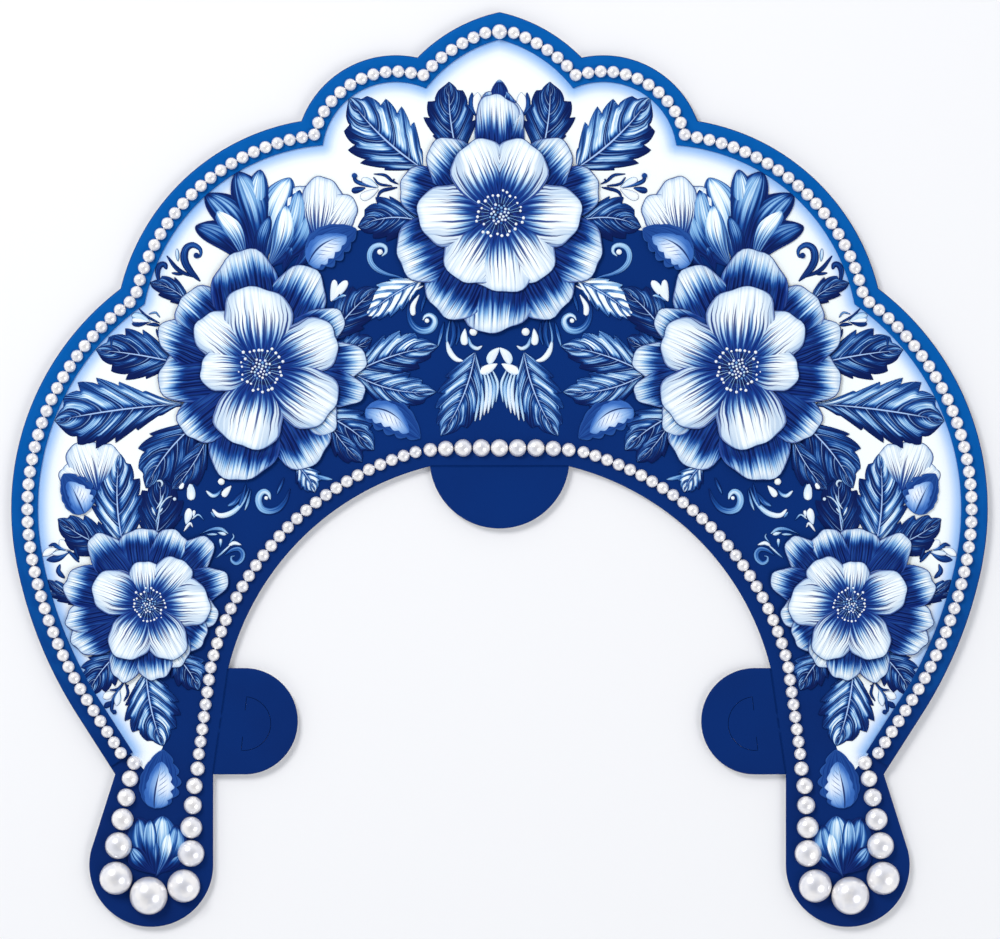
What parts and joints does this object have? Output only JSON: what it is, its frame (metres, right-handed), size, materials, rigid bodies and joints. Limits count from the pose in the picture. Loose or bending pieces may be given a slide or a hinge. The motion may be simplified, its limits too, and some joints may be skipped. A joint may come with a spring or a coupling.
{
  "type": "kokoshnik headdress",
  "caption": "Flat scalloped kokoshnik crest of stiff covered board with fold-back tabs round an arched head opening, ribbon edge, pearl strings, graded pearls and raised flowers.",
  "frame": {"origin": "middle of the outline on the back of the board, which rests on the surface", "axes": "+X to the right seen from the decorated face, +Y towards the peak of the crest, +Z out of the decorated face"},
  "size_m": [0.3126, 0.2927, 0.0083],
  "materials": {
    "board": "stiff board covered in navy cloth, white printed ground round the flowers",
    "ribbon": "blue satin ribbon",
    "pearl": "pearl white",
    "petal": "white petals shaded blue"
  },
  "bodies": {
    "root": {"crest_board": "board", "edge_ribbon": "ribbon", "peak_pearl": "pearl", "arch_pearl_0": "pearl", "outer_pearls_right": "pearl", "inner_pearls_right": "pearl", "arch_pearl_right_1": "pearl", "arch_pearl_right_2": "pearl", "arch_pearl_right_3": "pearl", "arch_pearl_right_4": "pearl", "lappet_pearl_right_1": "pearl", "lappet_pearl_right_2": "pearl", "lappet_pearl_right_3": "pearl", "lappet_pearl_right_4": "pearl", "lappet_pearl_right_5": "pearl", "lappet_pearl_right_6": "pearl", "lappet_pearl_right_7": "pearl", "lappet_pearl_right_8": "pearl", "lappet_pearl_right_9": "pearl", "lappet_pearl_right_10": "pearl", "lappet_pearl_right_11": "pearl", "lappet_pearl_right_12": "pearl", "lappet_pearl_right_13": "pearl", "outer_pearls_left": "pearl", "inner_pearls_left": "pearl", "arch_pearl_left_1": "pearl", "arch_pearl_left_2": "pearl", "arch_pearl_left_3": "pearl", "arch_pearl_left_4": "pearl", "lappet_pearl_left_1": "pearl", "lappet_pearl_left_2": "pearl", "lappet_pearl_left_3": "pearl", "lappet_pearl_left_4": "pearl", "lappet_pearl_left_5": "pearl", "lappet_pearl_left_6": "pearl", "lappet_pearl_left_7": "pearl", "lappet_pearl_left_8": "pearl", "lappet_pearl_left_9": "pearl", "lappet_pearl_left_10": "pearl", "lappet_pearl_left_11": "pearl", "lappet_pearl_left_12": "pearl", "lappet_pearl_left_13": "pearl", "flower_top": "petal", "flower_side_right": "petal", "flower_low_right": "petal", "flower_side_left": "petal", "flower_low_left": "petal"}
  },
  "joints": []
}
